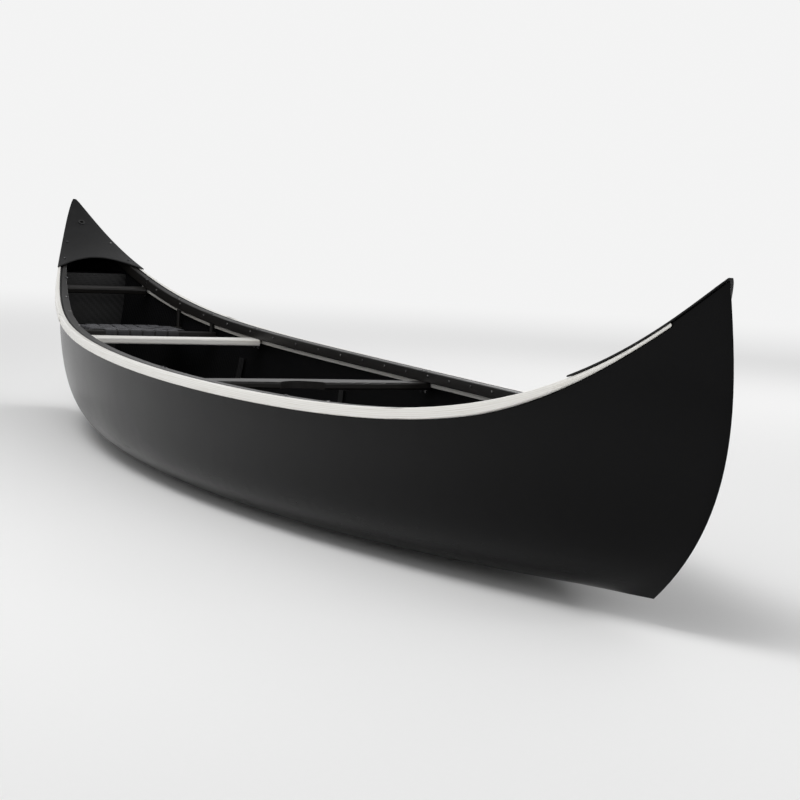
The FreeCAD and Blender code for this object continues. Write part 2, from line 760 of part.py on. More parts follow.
def deck_point(run, v, lift):
    """Deck point: run goes from the hollow inner edge to the tip, v from starboard to port."""
    inner = size("deck_edge") + size("deck_hollow") * (1 - v * v)
    return deck_at(inner + (1 - inner) * run, v, lift)


steps = even(0, 1, deck_stations)
runs = [1 - (1 - step) ** tip_crowding for step in steps]
under = surface([[deck_point(run, v, size("deck_lift")) for v in even(-1, 1, deck_rows)] for run in runs])
thick = size("deck_thickness")
above = surface([[deck_point(run, v, thick) for v in even(-1, 1, deck_rows)] for run in runs])
deck = sewn([above.toShape(), under.toShape()] + walls(under, above, ["start", "finish", "bottom", "top"]))
shaped("deck_bow", deck.cut(deck_cuts["bow"]))
shaped("deck_stern", other_end(deck).cut(deck_cuts["stern"]))

# ---------------------------------------------------------------- flotation tanks


def low_height(x, inset):
    """Height of the inner hull's lowest point at x, on the keel or on the stem's foot."""
    back = size("stem_thickening") * inset
    if x <= stem(0) - back:
        return hull_point(x / (stem(0) - back), 0, inset).z
    low = 0.0
    high = 0.7
    for step in range(40):
        t = (low + high) / 2
        if stem(t) - back < x:
            low = t
        else:
            high = t
    return hull_point(1, t, inset).z


def end_block(first, last, bottom, top, inset):
    """Solid that fills the inner hull from x first to last, between two heights or down to the keel."""
    rows = []
    for x in even(first, last, tank_stations):
        low = low_height(x, inset) if bottom is None else bottom
        row = [Vector(x, half_breadth(x, low + (top - low) * u * u, inset), low + (top - low) * u * u)
               for u in even(0, 1, tank_rows)]
        if bottom is None:
            row[0].y = 0
        rows.append(row)
    side = surface(rows)
    port = side.toShape()
    faces = [port, other_side(port)]
    for name in ("start", "finish", "top") if bottom is None else ("start", "finish", "top", "bottom"):
        line = edge_of(side, name)
        faces.append(Part.makeRuledSurface(line, other_side(line)))
    return sewn(faces)


face = size("tank_face")
panel = size("tank_panel")
roof = size("tank_height")
tank_end = size("tank_end")
bulkhead = end_block(face, face + panel, None, roof - panel - gap, wall + gap)
tank_top = end_block(face, tank_end, roof - panel, roof, wall + gap)
foam = end_block(face + panel + size("foam_gap"), tank_end - size("foam_gap"), None,
                 roof - panel - size("foam_gap"), wall + size("foam_gap"))
for name, piece in (("tank_bulkhead", bulkhead), ("tank_top", tank_top), ("tank_foam", foam)):
    shaped(name + "_bow", piece)
    shaped(name + "_stern", other_end(piece))

# ---------------------------------------------------------------- check and write

doc.recompute()
for thing in doc.Objects:
    if "Invalid" in thing.State or "Error" in thing.State:
        raise RuntimeError("failed object: " + thing.Label)
for part in parts_made:
    if part.Shape.isNull() or not part.Shape.isValid():
        raise RuntimeError("bad shape: " + part.Label)
    if not part.Shape.Solids:
        raise RuntimeError("no solid: " + part.Label)
os.makedirs("parts", exist_ok=True)
for part in parts_made:
    part.Shape.exportStep("parts/%s.step" % part.Label)
print("%d parts written" % len(parts_made))
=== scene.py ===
import bpy
import bmesh
import math
from mathutils import Matrix, Vector


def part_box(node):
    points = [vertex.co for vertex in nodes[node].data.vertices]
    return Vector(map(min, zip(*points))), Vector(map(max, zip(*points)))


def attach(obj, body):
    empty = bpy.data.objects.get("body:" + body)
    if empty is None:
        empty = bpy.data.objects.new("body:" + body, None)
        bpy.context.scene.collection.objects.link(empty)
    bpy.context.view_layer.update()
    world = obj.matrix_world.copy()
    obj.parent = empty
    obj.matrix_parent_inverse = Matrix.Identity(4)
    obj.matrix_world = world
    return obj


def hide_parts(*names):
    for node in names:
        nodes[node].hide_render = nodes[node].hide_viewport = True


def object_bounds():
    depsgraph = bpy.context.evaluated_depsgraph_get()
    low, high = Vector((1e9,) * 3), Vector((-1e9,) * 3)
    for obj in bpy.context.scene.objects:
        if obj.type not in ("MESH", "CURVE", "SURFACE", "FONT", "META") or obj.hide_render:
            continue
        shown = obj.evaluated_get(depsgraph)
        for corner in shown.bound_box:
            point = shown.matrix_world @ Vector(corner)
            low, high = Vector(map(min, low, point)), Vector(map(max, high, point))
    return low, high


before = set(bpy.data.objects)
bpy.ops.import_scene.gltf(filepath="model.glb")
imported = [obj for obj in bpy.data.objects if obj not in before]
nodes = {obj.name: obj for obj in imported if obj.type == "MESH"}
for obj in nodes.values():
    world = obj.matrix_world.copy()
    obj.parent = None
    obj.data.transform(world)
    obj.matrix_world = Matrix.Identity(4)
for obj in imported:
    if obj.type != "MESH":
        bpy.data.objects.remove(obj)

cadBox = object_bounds()
print("frame loaded:", len(nodes), "nodes")

view = {
    "place": (6.758, -2.608, 0.964),  # off the bow, a little above the gunwale
    "aim": (0.762, 0.0, 0.337),
    "roll": 0.048,
    "lens": 112.4,
    "sensor": 36.0,
}


def makeCamera():
    place = Vector(view["place"])
    ahead = (Vector(view["aim"]) - place).normalized()
    right = ahead.cross(Vector((0, 0, 1))).normalized()
    up = right.cross(ahead)
    c, s = math.cos(view["roll"]), math.sin(view["roll"])
    tiltedRight = right * c + up * s
    tiltedUp = up * c - right * s
    data = bpy.data.cameras.new("productCamera")
    data.lens = view["lens"]
    data.sensor_width = view["sensor"]
    data.clip_end = 400
    cam = bpy.data.objects.new("productCamera", data)
    turn = Matrix((tiltedRight, tiltedUp, -ahead)).transposed().to_4x4()
    cam.matrix_world = Matrix.Translation(place) @ turn
    bpy.context.scene.collection.objects.link(cam)
    bpy.context.scene.camera = cam


makeCamera()

studio = {
    "floorRadius": 150.0,
    "fadeStart": 2.6,  # the floor turns slowly into the backdrop between these distances
    "fadeEnd": 10.0,
    "paper": (0.88, 0.88, 0.875),
    "air": (0.9, 0.9, 0.9),
    "zenith": (0.45, 0.45, 0.455),  # the room is darker overhead, so that edges read against it
}


def newMaterial(name):
    mat = bpy.data.materials.new(name)
    mat.use_nodes = True
    tree = mat.node_tree
    tree.nodes.clear()
    out = tree.nodes.new("ShaderNodeOutputMaterial")
    return mat, tree, out


def node(tree, kind, **settings):
    made = tree.nodes.new("ShaderNode" + kind)
    for key, value in settings.items():
        setattr(made, key, value)
    return made


def setInputs(made, **values):
    for key, value in values.items():
        made.inputs[key].default_value = value
    return made


def mathNode(tree, operation, a, b=None, c=None, clamp=False):
    made = node(tree, "Math", operation=operation, use_clamp=clamp)
    for index, value in enumerate((a, b, c)):
        if value is None:
            continue
        if isinstance(value, (int, float)):
            made.inputs[index].default_value = value
        else:
            tree.links.new(value, made.inputs[index])
    return made.outputs[0]


def ramp(tree, fac, low, high, colorLow=(0, 0, 0, 1), colorHigh=(1, 1, 1, 1)):
    made = node(tree, "ValToRGB")
    made.color_ramp.elements[0].position = low
    made.color_ramp.elements[1].position = high
    made.color_ramp.elements[0].color = colorLow
    made.color_ramp.elements[1].color = colorHigh
    tree.links.new(fac, made.inputs[0])
    return made.outputs[0]


def mixColor(tree, fac, a, b):
    made = node(tree, "Mix", data_type="RGBA")
    for socket, value in ((made.inputs[0], fac), (made.inputs[6], a), (made.inputs[7], b)):
        if isinstance(value, (int, float)):
            socket.default_value = value
        elif isinstance(value, tuple):
            socket.default_value = value if len(value) == 4 else (*value, 1)
        else:
            tree.links.new(value, socket)
    return made.outputs[2]


def place(tree, scale=(1, 1, 1), vector=None):
    mapping = node(tree, "Mapping")
    mapping.inputs["Scale"].default_value = scale
    if vector is None:
        vector = node(tree, "TexCoord").outputs["Object"]
    tree.links.new(vector, mapping.inputs["Vector"])
    return mapping.outputs[0]


def noise(tree, vector, scale, detail=3.0, roughness=0.5):
    made = setInputs(node(tree, "TexNoise"), Scale=scale, Detail=detail, Roughness=roughness)
    tree.links.new(vector, made.inputs["Vector"])
    return made.outputs["Fac"]


def bump(tree, height, strength, distance, below=None):
    made = setInputs(node(tree, "Bump"), Strength=strength, Distance=distance)
    tree.links.new(height, made.inputs["Height"])
    if below is not None:
        tree.links.new(below, made.inputs["Normal"])
    return made.outputs[0]


def makeFloor():
    mesh = bpy.data.meshes.new("studioFloor")
    bm = bmesh.new()
    bmesh.ops.create_circle(bm, cap_ends=True, segments=96, radius=studio["floorRadius"])
    bmesh.ops.translate(bm, verts=bm.verts, vec=(0, 0, cadBox[0][2] - 0.0005))
    bm.to_mesh(mesh)
    bm.free()
    floor = bpy.data.objects.new("studioFloor", mesh)
    bpy.context.scene.collection.objects.link(floor)
    mat, tree, out = newMaterial("paperFloor")
    coords = node(tree, "TexCoord")
    length = node(tree, "VectorMath", operation="LENGTH")
    tree.links.new(coords.outputs["Object"], length.inputs[0])
    fade = node(tree, "MapRange", interpolation_type="SMOOTHSTEP")
    setInputs(fade, **{"From Min": studio["fadeStart"], "From Max": studio["fadeEnd"]})
    tree.links.new(length.outputs["Value"], fade.inputs["Value"])
    paper = setInputs(node(tree, "BsdfPrincipled"), Roughness=0.9)
    speck = noise(tree, coords.outputs["Object"], 60, 4)
    tint = mixColor(tree, speck, tuple(c * 0.985 for c in studio["paper"]), studio["paper"])
    tree.links.new(tint, paper.inputs["Base Color"])
    glow = setInputs(node(tree, "Emission"), Color=(*studio["air"], 1), Strength=1.0)
    mix = node(tree, "MixShader")
    tree.links.new(fade.outputs["Result"], mix.inputs[0])
    tree.links.new(paper.outputs[0], mix.inputs[1])
    tree.links.new(glow.outputs[0], mix.inputs[2])
    tree.links.new(mix.outputs[0], out.inputs["Surface"])
    mesh.materials.append(mat)


def makeWorld():
    world = bpy.data.worlds.new("studioAir")
    world.use_nodes = True
    tree = world.node_tree
    coords = node(tree, "TexCoord")
    split = node(tree, "SeparateXYZ")
    tree.links.new(coords.outputs["Generated"], split.inputs[0])
    sky = ramp(tree, split.outputs["Z"], 0.12, 0.75, (*studio["air"], 1), (*studio["zenith"], 1))
    tree.links.new(sky, tree.nodes["Background"].inputs["Color"])
    bpy.context.scene.world = world


lamps = [
    {"name": "topSoftbox", "at": (0.6, -2.2, 5.0), "aim": (0.1, 0, 0.2), "size": (6.5, 2.4), "power": 150},
    {"name": "rimStrip", "at": (-3.2, 4.2, 2.6), "aim": (-0.4, 0, 0.5), "size": (5.0, 0.8), "power": 60},
    {"name": "bowStrip", "at": (5.6, 2.6, 2.6), "aim": (1.6, 0, 0.5), "size": (2.6, 0.8), "power": 30},
]


def makeLamps():
    for lamp in lamps:
        data = bpy.data.lights.new(lamp["name"], "AREA")
        data.shape = "RECTANGLE"
        data.size, data.size_y = lamp["size"]
        data.energy = lamp["power"]
        made = bpy.data.objects.new(lamp["name"], data)
        made.location = lamp["at"]
        aim = Vector(lamp["aim"]) - Vector(lamp["at"])
        made.rotation_euler = aim.to_track_quat("-Z", "Y").to_euler()
        bpy.context.scene.collection.objects.link(made)


makeFloor()
makeWorld()
makeLamps()
bpy.context.scene.view_settings.view_transform = "Standard"
print("studio set")

weave = {"tow": 0.005, "lay": 4.0}  # twill tows 5 mm wide, four to a repeat


def girth(tree):
    coords = node(tree, "TexCoord")
    split = node(tree, "SeparateXYZ")
    tree.links.new(coords.outputs["Object"], split.inputs[0])
    across = mathNode(tree, "ABSOLUTE", split.outputs["Y"])
    return split, mathNode(tree, "ADD", across, split.outputs["Z"])


def twill(tree, along, around, tow):
    a = mathNode(tree, "DIVIDE", along, tow)
    b = mathNode(tree, "DIVIDE", around, tow)
    step = mathNode(tree, "ADD", mathNode(tree, "FLOOR", a), mathNode(tree, "FLOOR", b))
    turn = mathNode(tree, "FLOORED_MODULO", step, weave["lay"])
    over = mathNode(tree, "LESS_THAN", turn, weave["lay"] / 2)
    crownA = mathNode(tree, "SINE", mathNode(tree, "MULTIPLY", mathNode(tree, "FRACT", a), math.pi))
    crownB = mathNode(tree, "SINE", mathNode(tree, "MULTIPLY", mathNode(tree, "FRACT", b), math.pi))
    upper = mathNode(tree, "MULTIPLY", over, crownA)
    lower = mathNode(tree, "MULTIPLY", mathNode(tree, "SUBTRACT", 1.0, over), crownB)
    return mathNode(tree, "ADD", upper, lower), over


sheerLine = {
    "halfLength": 2.4,
    "halfBeam": 0.4275,
    "planPower": 0.845,
    "rise": 0.407,  # from the low middle to the tips
    "steepShare": 0.8,
    "steepPower": 6.05,
}


def waleCoords(tree):  # along the boat, out from the plan line and up from the sheer line
    split = node(tree, "SeparateXYZ")
    tree.links.new(node(tree, "TexCoord").outputs["Object"], split.inputs[0])
    q = mathNode(tree, "DIVIDE", mathNode(tree, "ABSOLUTE", split.outputs["X"]), sheerLine["halfLength"])
    square = mathNode(tree, "MULTIPLY", q, q)
    steep = mathNode(tree, "POWER", q, sheerLine["steepPower"])
    gentle = mathNode(tree, "MULTIPLY", square, 1 - sheerLine["steepShare"])
    rise = mathNode(tree, "MULTIPLY_ADD", steep, sheerLine["steepShare"], gentle)
    lift = mathNode(tree, "MULTIPLY", rise, sheerLine["rise"])
    up = mathNode(tree, "SUBTRACT", split.outputs["Z"], lift)
    fall = mathNode(tree, "MAXIMUM", mathNode(tree, "SUBTRACT", 1.0, square), 0.0)
    fullness = mathNode(tree, "POWER", fall, sheerLine["planPower"])
    plan = mathNode(tree, "MULTIPLY", fullness, sheerLine["halfBeam"])
    side = mathNode(tree, "SUBTRACT", mathNode(tree, "ABSOLUTE", split.outputs["Y"]), plan)
    join = node(tree, "CombineXYZ")
    for value, socket in zip((split.outputs["X"], side, up), join.inputs):
        tree.links.new(value, socket)
    return join.outputs[0]


def principled(tree, out, **values):
    shader = node(tree, "BsdfPrincipled")
    for key, value in values.items():
        shader.inputs[key].default_value = value
    tree.links.new(shader.outputs[0], out.inputs["Surface"])
    return shader


def hullLaminate():
    mat, tree, out = newMaterial("hullLaminate")
    gloss = {"Specular IOR Level": 0.05, "Coat Weight": 0.05, "Coat Roughness": 0.06}
    shader = principled(tree, out, **gloss)
    coords = node(tree, "TexCoord")
    middle = node(tree, "VectorMath", operation="SUBTRACT")
    middle.inputs[1].default_value = (0, 0, 0.4)
    stretch = node(tree, "VectorMath", operation="MULTIPLY")
    stretch.inputs[1].default_value = (0.08, 1.0, 0.6)
    facing = node(tree, "VectorMath", operation="DOT_PRODUCT")
    tree.links.new(coords.outputs["Object"], middle.inputs[0])
    tree.links.new(middle.outputs[0], stretch.inputs[0])
    tree.links.new(stretch.outputs[0], facing.inputs[0])
    tree.links.new(coords.outputs["Normal"], facing.inputs[1])
    outside = mathNode(tree, "GREATER_THAN", facing.outputs["Value"], 0.0)
    split, around = girth(tree)
    height, over = twill(tree, split.outputs["X"], around, weave["tow"])
    cloth = mixColor(tree, over, (0.003, 0.003, 0.0033), (0.009, 0.009, 0.0095))
    # gelcoat: faint haze, scuffs low down that run with the keel
    haze = noise(tree, place(tree), 2.2, 4)
    scuff = noise(tree, place(tree, (1.2, 40, 70)), 3.0, 6, 0.65)
    lowDown = setInputs(node(tree, "MapRange"), **{"From Min": 0.16, "From Max": 0.02})
    tree.links.new(split.outputs["Z"], lowDown.inputs["Value"])
    scuffMask = mathNode(tree, "MULTIPLY", ramp(tree, scuff, 0.6, 0.72), lowDown.outputs[0])
    gel = mixColor(tree, haze, (0.0016, 0.0016, 0.0018), (0.003, 0.003, 0.0033))
    gel = mixColor(tree, mathNode(tree, "MULTIPLY", scuffMask, 0.4), gel, (0.05, 0.05, 0.05))
    tree.links.new(mixColor(tree, outside, cloth, gel), shader.inputs["Base Color"])
    gelRough = mathNode(tree, "MULTIPLY_ADD", haze, 0.12, 0.16)
    gelRough = mathNode(tree, "ADD", gelRough, mathNode(tree, "MULTIPLY", scuffMask, 0.3))
    clothRough = mathNode(tree, "MULTIPLY_ADD", over, 0.08, 0.36)
    rough = node(tree, "Mix", data_type="FLOAT")
    tree.links.new(outside, rough.inputs[0])
    tree.links.new(clothRough, rough.inputs[2])
    tree.links.new(gelRough, rough.inputs[3])
    tree.links.new(rough.outputs[0], shader.inputs["Roughness"])
    fair = noise(tree, place(tree, (1, 1.6, 1.6)), 2.6, 2)
    peel = noise(tree, place(tree), 190, 2)
    inner = mathNode(tree, "MULTIPLY", height, mathNode(tree, "SUBTRACT", 1.0, outside))
    soft = bump(tree, fair, 0.12, 0.01)
    fine = bump(tree, peel, 0.02, 0.002, soft)
    woven = bump(tree, inner, 0.35, 0.0006, fine)
    tree.links.new(woven, shader.inputs["Normal"])
    return mat


def liningLaminate(name, flat):
    mat, tree, out = newMaterial(name)
    gloss = {"Specular IOR Level": 0.3, "Coat Weight": 0.05, "Coat Roughness": 0.2}
    shader = principled(tree, out, **gloss)
    split, around = girth(tree)
    if flat:  # a bulkhead's cloth runs straight across the boat
        height, over = twill(tree, split.outputs["Y"], split.outputs["Z"], weave["tow"] * 1.3)
    else:
        height, over = twill(tree, split.outputs["X"], around, weave["tow"] * 1.3)
    blotch = noise(tree, place(tree), 9, 4)
    cloth = mixColor(tree, over, (0.005, 0.005, 0.0053), (0.013, 0.013, 0.0137))
    cloth = mixColor(tree, ramp(tree, blotch, 0.4, 0.75), cloth, (0.009, 0.0088, 0.0085))
    tree.links.new(cloth, shader.inputs["Base Color"])
    tree.links.new(mathNode(tree, "MULTIPLY_ADD", blotch, 0.25, 0.35), shader.inputs["Roughness"])
    resin = bump(tree, blotch, 0.15, 0.003)
    tree.links.new(bump(tree, height, 0.4, 0.0007, resin), shader.inputs["Normal"])
    return mat


ashes = {
    "whiteAsh": {
        "wood": (0.82, 0.81, 0.78),
        "grain": (0.60, 0.57, 0.50),
        "worn": (0.66, 0.55, 0.40),
        "grainLook": 0.38,
        "rough": 0.42,
        "varnish": 0.3,
    },
    "blackAsh": {
        "wood": (0.004, 0.0038, 0.0036),
        "grain": (0.016, 0.0138, 0.012),
        "worn": (0.03, 0.022, 0.016),
        "grainLook": 0.6,
        "rough": 0.42,
        "varnish": 0.04,
    },
}


def ash(name, run, kind):
    look = ashes[kind]
    mat, tree, out = newMaterial(name)
    gloss = {"Specular IOR Level": 0.3, "Coat Weight": look["varnish"], "Coat Roughness": 0.18}
    shader = principled(tree, out, **gloss)
    source = waleCoords(tree) if run == "X" else None
    longWay = (0.35, 14, 14) if run == "X" else (14, 0.35, 14)
    poreWay = (6, 300, 300) if run == "X" else (300, 6, 300)
    warp = noise(tree, place(tree, longWay, source), 1.4, 3)
    rings = node(tree, "TexWave", wave_type="BANDS", bands_direction="Z")
    setInputs(rings, Scale=5.0, Distortion=6.0, Detail=2.0)
    rings.inputs["Detail Scale"].default_value = 1.2
    tree.links.new(place(tree, longWay, source), rings.inputs["Vector"])
    pores = noise(tree, place(tree, poreWay, source), 1.0, 5, 0.6)
    line = mathNode(tree, "MULTIPLY", rings.outputs["Fac"], look["grainLook"])
    wood = mixColor(tree, line, look["wood"], look["grain"])
    openPores = mathNode(tree, "MULTIPLY", ramp(tree, pores, 0.55, 0.68), 0.55)
    wood = mixColor(tree, openPores, wood, look["grain"])
    rub = mathNode(tree, "MULTIPLY", ramp(tree, warp, 0.62, 0.8), 0.35)
    wood = mixColor(tree, rub, wood, look["worn"])
    tree.links.new(wood, shader.inputs["Base Color"])
    rough = mathNode(tree, "MULTIPLY_ADD", pores, 0.2, look["rough"] - 0.1)
    tree.links.new(rough, shader.inputs["Roughness"])
    fibre = bump(tree, pores, 0.25, 0.0005)
    tree.links.new(bump(tree, rings.outputs["Fac"], 0.12, 0.0006, fibre), shader.inputs["Normal"])
    return mat


def deckShell():
    mat, tree, out = newMaterial("deckShell")
    shader = principled(tree, out, **{"Specular IOR Level": 0.25})
    pebbles = setInputs(node(tree, "TexVoronoi", feature="SMOOTH_F1"), Scale=420.0, Smoothness=0.6)
    tree.links.new(place(tree), pebbles.inputs["Vector"])
    wear = noise(tree, place(tree), 14, 5)
    color = mixColor(tree, ramp(tree, wear, 0.5, 0.8), (0.0025, 0.0025, 0.0027), (0.008, 0.008, 0.0083))
    tree.links.new(color, shader.inputs["Base Color"])
    tree.links.new(mathNode(tree, "MULTIPLY_ADD", wear, 0.25, 0.25), shader.inputs["Roughness"])
    tree.links.new(bump(tree, pebbles.outputs["Distance"], 0.35, 0.0008), shader.inputs["Normal"])
    return mat


def blackenedSteel():
    mat, tree, out = newMaterial("blackenedSteel")
    shader = principled(tree, out, Metallic=1.0)
    turned = noise(tree, place(tree, (1, 1, 30)), 90, 4)
    patches = noise(tree, place(tree), 160, 3)
    color = mixColor(tree, ramp(tree, patches, 0.5, 0.7), (0.07, 0.07, 0.075), (0.42, 0.41, 0.4))
    tree.links.new(color, shader.inputs["Base Color"])
    tree.links.new(mathNode(tree, "MULTIPLY_ADD", turned, 0.3, 0.22), shader.inputs["Roughness"])
    tree.links.new(bump(tree, turned, 0.15, 0.0002), shader.inputs["Normal"])
    return mat


def foam():
    mat, tree, out = newMaterial("floatFoam")
    shader = principled(tree, out, Roughness=0.85)
    beads = setInputs(node(tree, "TexVoronoi"), Scale=260.0)
    tree.links.new(place(tree), beads.inputs["Vector"])
    color = mixColor(tree, beads.outputs["Distance"], (0.82, 0.82, 0.78), (0.66, 0.66, 0.62))
    tree.links.new(color, shader.inputs["Base Color"])
    tree.links.new(bump(tree, beads.outputs["Distance"], 0.5, 0.001), shader.inputs["Normal"])
    return mat


def tubePlastic():
    mat, tree, out = newMaterial("tubePlastic")
    shader = principled(tree, out, **{"Specular IOR Level": 0.35})
    rub = noise(tree, place(tree), 70, 5)
    color = mixColor(tree, ramp(tree, rub, 0.5, 0.75), (0.014, 0.014, 0.014), (0.05, 0.05, 0.05))
    tree.links.new(color, shader.inputs["Base Color"])
    tree.links.new(mathNode(tree, "MULTIPLY_ADD", rub, 0.3, 0.3), shader.inputs["Roughness"])
    tree.links.new(bump(tree, rub, 0.2, 0.0004), shader.inputs["Normal"])
    return mat


def strapWeb():
    mat, tree, out = newMaterial("strapWeb")
    shader = principled(tree, out, **{"Sheen Weight": 0.35, "Sheen Roughness": 0.4})
    shader.inputs["Sheen Tint"].default_value = (0.5, 0.5, 0.55, 1)
    uv = node(tree, "UVMap", uv_map="run")
    split = node(tree, "SeparateXYZ")
    tree.links.new(uv.outputs[0], split.inputs[0])
    ribs = mathNode(tree, "SINE", mathNode(tree, "MULTIPLY", split.outputs["Y"], 2 * math.pi * 11))
    folded = mathNode(tree, "PINGPONG", mathNode(tree, "MULTIPLY", split.outputs["Y"], 11.0), 0.5)
    picks = mathNode(tree, "ADD", mathNode(tree, "MULTIPLY", split.outputs["X"], 480.0), folded)
    pick = mathNode(tree, "SINE", mathNode(tree, "MULTIPLY", picks, 2 * math.pi))
    height = mathNode(tree, "MULTIPLY_ADD", pick, 0.35, mathNode(tree, "MULTIPLY", ribs, 0.5))
    shade = mathNode(tree, "MULTIPLY_ADD", height, 0.5, 0.5, clamp=True)
    fade = noise(tree, place(tree), 26, 4)
    color = mixColor(tree, shade, (0.008, 0.008, 0.009), (0.035, 0.035, 0.038))
    faded = mathNode(tree, "MULTIPLY", ramp(tree, fade, 0.5, 0.8), 0.4)
    color = mixColor(tree, faded, color, (0.06, 0.058, 0.056))
    tree.links.new(color, shader.inputs["Base Color"])
    tree.links.new(mathNode(tree, "MULTIPLY_ADD", shade, -0.15, 0.75), shader.inputs["Roughness"])
    tree.links.new(bump(tree, height, 0.7, 0.0006), shader.inputs["Normal"])
    return mat


finishes = {
    "hullLaminate": hullLaminate(),
    "liningLaminate": liningLaminate("liningLaminate", False),
    "bulkheadLaminate": liningLaminate("bulkheadLaminate", True),
    "whiteAshLong": ash("whiteAshLong", "X", "whiteAsh"),
    "whiteAshCross": ash("whiteAshCross", "Y", "whiteAsh"),
    "blackAshLong": ash("blackAshLong", "X", "blackAsh"),
    "blackAshCross": ash("blackAshCross", "Y", "blackAsh"),
    "deckShell": deckShell(),
    "blackenedSteel": blackenedSteel(),
    "foam": foam(),
    "tubePlastic": tubePlastic(),
    "strapWeb": strapWeb(),
}


def finishFor(name):
    if name == "hull_shell":
        return "hullLaminate"
    if name.startswith("tank_bulkhead"):
        return "bulkheadLaminate"
    if name == "floor_core" or name.startswith(("side_rib", "tank_top")):
        return "liningLaminate"
    if name.startswith("tank_foam"):
        return "foam"
    if name.startswith(("outwale", "inwale_bead")):
        return "whiteAshLong"
    if name.startswith("thwart"):
        return "whiteAshCross"
    if name.startswith("inwale") or "side_rail" in name:
        return "blackAshLong"
    if name.startswith(("centre_yoke", "carry_handle")) or "rail" in name or "spacers" in name:
        return "blackAshCross"
    if name in ("deck_bow", "deck_stern"):
        return "deckShell"
    if name.startswith("painter"):
        return "tubePlastic"
    if "webbing" in name:
        return "strapWeb"
    return "blackenedSteel"


for name, piece in nodes.items():
    piece.data.materials.clear()
    piece.data.materials.append(finishes[finishFor(name)])
print("finishes on", len(nodes), "nodes")

softEdges = {
    "outwale": 0.0035,
    "inwale": 0.003,
    "inwale_bead": 0.002,
    "deck": 0.0015,
    "segments": 3,
    "corner": 50,  # degrees between two faces that meet in an edge to round
    "longEdge": 0.12,  # edge loops shorter than this are holes, which stay crisp
    "weld": 2e-5,
    "sliver": 1e-5,
    "flat": 2,  # degrees within which two triangles join into a quad
    "quadShape": 60,
}


def edgeLoops(edges):  # sharp edges grouped by the corners they share, in mesh order
    left = dict.fromkeys(edges)
    loops = []
    while left:
        waiting = [left.popitem()[0]]
        loop = []
        while waiting:
            edge = waiting.pop()
            loop.append(edge)
            for vert in edge.verts:
                for other in vert.link_edges:
                    if other in left:
                        del left[other]
                        waiting.append(other)
        loops.append(loop)
    return loops


def loopReach(loop):
    reach = 0.0
    for axis in range(3):
        spots = [vert.co[axis] for edge in loop for vert in edge.verts]
        reach = max(reach, max(spots) - min(spots))
    return reach


def soften(name, kind):  # a merged copy of a node with its long edges rounded
    bm = bmesh.new()
    bm.from_mesh(nodes[name].data)
    bmesh.ops.remove_doubles(bm, verts=bm.verts, dist=softEdges["weld"])
    bmesh.ops.dissolve_degenerate(bm, edges=bm.edges, dist=softEdges["sliver"])
    corner = math.radians(softEdges["corner"])
    sharp = [edge for edge in bm.edges if len(edge.link_faces) == 2 and edge.calc_face_angle(0) > corner]
    rounded = []
    for loop in edgeLoops(sharp):
        if loopReach(loop) > softEdges["longEdge"]:
            rounded += loop
    bmesh.ops.join_triangles(bm, faces=bm.faces, angle_face_threshold=math.radians(softEdges["flat"]),
                             angle_shape_threshold=math.radians(softEdges["quadShape"]))
    rounded = [edge for edge in rounded if edge.is_valid]
    bmesh.ops.bevel(bm, geom=rounded, offset=softEdges[kind], segments=softEdges["segments"],
                    profile=0.5, affect="EDGES", material=-1)
    for face in bm.faces:
        face.smooth = True
    mesh = bpy.data.meshes.new(name + "_rounded")
    bm.to_mesh(mesh)
    bm.free()
    mesh.set_sharp_from_angle(angle=corner)
    piece = bpy.data.objects.new(name + "_rounded", mesh)
    bpy.context.scene.collection.objects.link(piece)
    flats = piece.modifiers.new("flatFaces", "WEIGHTED_NORMAL")
    flats.keep_sharp = True
    mesh.materials.append(finishes[finishFor(name)])
    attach(piece, "root")
    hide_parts(name)
    print("rounded", name, len(rounded), "edges,", len(mesh.polygons), "faces")


for side in ("port", "starboard"):
    for kind in ("outwale", "inwale", "inwale_bead"):
        soften("%s_%s" % (kind, side), kind)
for end in ("bow", "stern"):
    soften("deck_" + end, "deck")

seatStraps = {
    "width": 0.038,
    "thick": 0.0013,
    "lift": 0.0009,  # half the rise of one strap over another
    "alongCount": 6,  # straps that run fore and aft, side by side
    "acrossCount": 4,
    "tuck": 0.016,  # how far each end turns in under its rail
    "turn": 0.003,  # the strap's bend under the rail
    "ease": 0.0008,  # the strap's bend over the rail
    "shoulder": 0.002,  # the flat run stops this far short of the rail's outer face
    "wave": 0.62,  # half length of a rise, in strap widths
    "sag": 0.006,
    "sagShare": 0.8,
    "gapAcross": 0.004,  # room left beside the side rails
    "gapAlong": 0.006,
    "edge": 0.0004,
    "steps": 60,
}


def strapPath(length, drop, spec, crossings, start):
    thick = spec["thick"]
    side = length / 2 + thick
    under = -drop - thick
    turn = spec["turn"]
    ease = spec["ease"]
    path = [(-side + spec["tuck"], under), (-side + turn, under)]
    path += [(-side, under + turn), (-side, -turn), (-side + ease, -ease)]
    flat = length / 2 - spec["shoulder"]
    for step in range(spec["steps"] + 1):
        run = -flat + 2 * flat * step / spec["steps"]
        wave = 0.0
        for index, crossing in enumerate(crossings):
            away = abs(run - crossing) / (spec["width"] * spec["wave"])
            if away < 1:
                over = 1 if (index + start) % 2 == 0 else -1
                wave += over * spec["lift"] * (0.5 + 0.5 * math.cos(math.pi * away))
        hollow = -spec["sag"] * max(0.0, 1 - (run / (flat * spec["sagShare"])) ** 2)
        path.append((run, thick + spec["lift"] + wave + hollow))
    path += [(side - ease, -ease), (side, -turn), (side, under + turn)]
    path += [(side - turn, under), (side - spec["tuck"], under)]
    return path


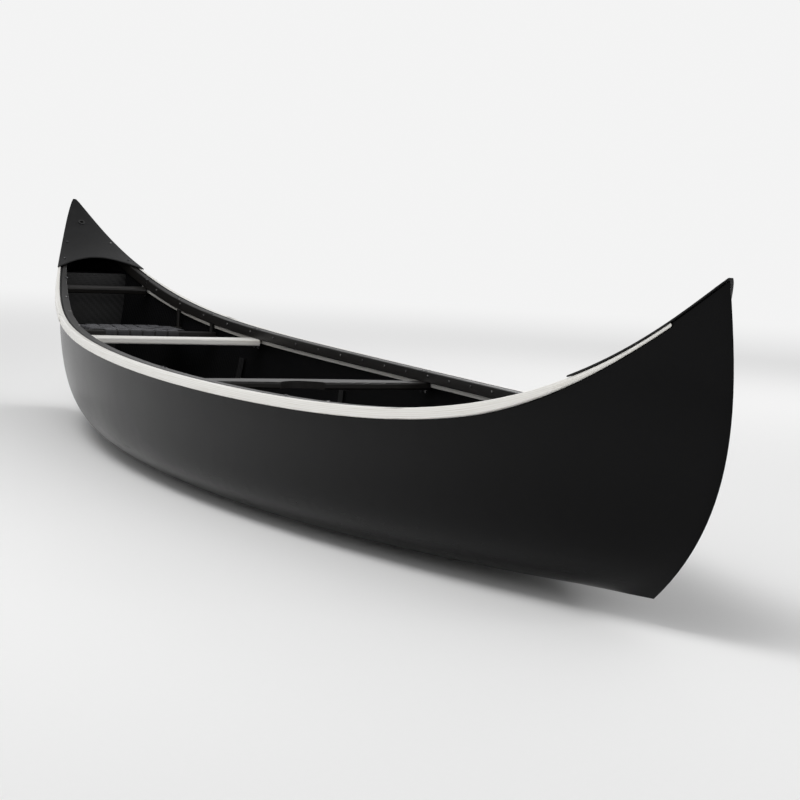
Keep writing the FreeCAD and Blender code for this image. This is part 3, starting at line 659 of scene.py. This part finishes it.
def addStrap(bm, uvLayer, path, toWorld, spec):
    half = spec["width"] / 2
    pair = [bm.verts.new(toWorld(path[0][0], side * half, path[0][1])) for side in (-1, 1)]
    edge = bm.edges.new(pair)
    runs = {pair[0]: (0.0, 0.0), pair[1]: (0.0, 1.0)}
    faces = []
    travelled = 0.0
    for last, here in zip(path, path[1:]):
        travelled += math.dist(last, here)
        made = bmesh.ops.extrude_edge_only(bm, edges=[edge])["geom"]
        fresh = [item for item in made if isinstance(item, bmesh.types.BMVert)]
        edges = [item for item in made if isinstance(item, bmesh.types.BMEdge)]
        edge = [item for item in edges if all(vert in fresh for vert in item.verts)][0]
        faces += [item for item in made if isinstance(item, bmesh.types.BMFace)]
        move = toWorld(here[0], 0, here[1]) - toWorld(last[0], 0, last[1])
        bmesh.ops.translate(bm, verts=fresh, vec=move)
        origin = toWorld(here[0], 0, here[1])
        sideWay = toWorld(0, 1, 0) - toWorld(0, 0, 0)
        for vert in fresh:
            runs[vert] = (travelled, 0.0 if (vert.co - origin).dot(sideWay) < 0 else 1.0)
    for face in faces:
        for loop in face.loops:
            loop[uvLayer].uv = runs[loop.vert]
    return faces


def makeSeatWeb(end):
    spec = seatStraps
    low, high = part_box("seat_%s_webbing" % end)
    railLow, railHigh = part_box("seat_%s_side_rail_port" % end)
    centre = (low + high) / 2
    top = railHigh.z
    drop = railHigh.z - railLow.z
    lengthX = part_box("seat_%s_forward_rail" % end)[1].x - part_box("seat_%s_aft_rail" % end)[0].x
    lengthY = 2 * (railHigh.y - centre.y)
    mesh = bpy.data.meshes.new("seat_%s_straps" % end)
    bm = bmesh.new()
    uvLayer = bm.loops.layers.uv.new("run")
    roomY = 2 * (railLow.y - centre.y) - spec["gapAcross"]
    alongAt = [roomY * ((i + 0.5) / spec["alongCount"] - 0.5) for i in range(spec["alongCount"])]
    roomX = railHigh.x - railLow.x - spec["gapAlong"]
    acrossAt = [roomX * ((i + 0.5) / spec["acrossCount"] - 0.5) for i in range(spec["acrossCount"])]
    for index, shift in enumerate(alongAt):
        path = strapPath(lengthX, drop, spec, acrossAt, index)
        addStrap(bm, uvLayer, path, lambda run, side, rise, y=shift: Vector(
            (centre.x + run, centre.y + y + side, top + rise)), spec)
    for index, shift in enumerate(acrossAt):
        path = strapPath(lengthY, drop, spec, alongAt, index + 1)
        addStrap(bm, uvLayer, path, lambda run, side, rise, x=shift: Vector(
            (centre.x + x - side, centre.y + run, top + rise)), spec)
    bmesh.ops.recalc_face_normals(bm, faces=bm.faces)
    bm.to_mesh(mesh)
    bm.free()
    piece = bpy.data.objects.new("seat_%s_straps" % end, mesh)
    bpy.context.scene.collection.objects.link(piece)
    wall = piece.modifiers.new("strapThickness", "SOLIDIFY")
    wall.thickness = spec["thick"]
    wall.offset = 0
    soft = piece.modifiers.new("strapEdge", "BEVEL")
    soft.width = spec["edge"]
    soft.segments = 2
    soft.limit_method = "ANGLE"
    for face in mesh.polygons:
        face.use_smooth = True
    mesh.materials.append(finishes["strapWeb"])
    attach(piece, "root")
    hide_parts("seat_%s_webbing" % end)
    print("seat web", end, len(mesh.polygons), "faces")


for end in ("bow", "stern"):
    makeSeatWeb(end)
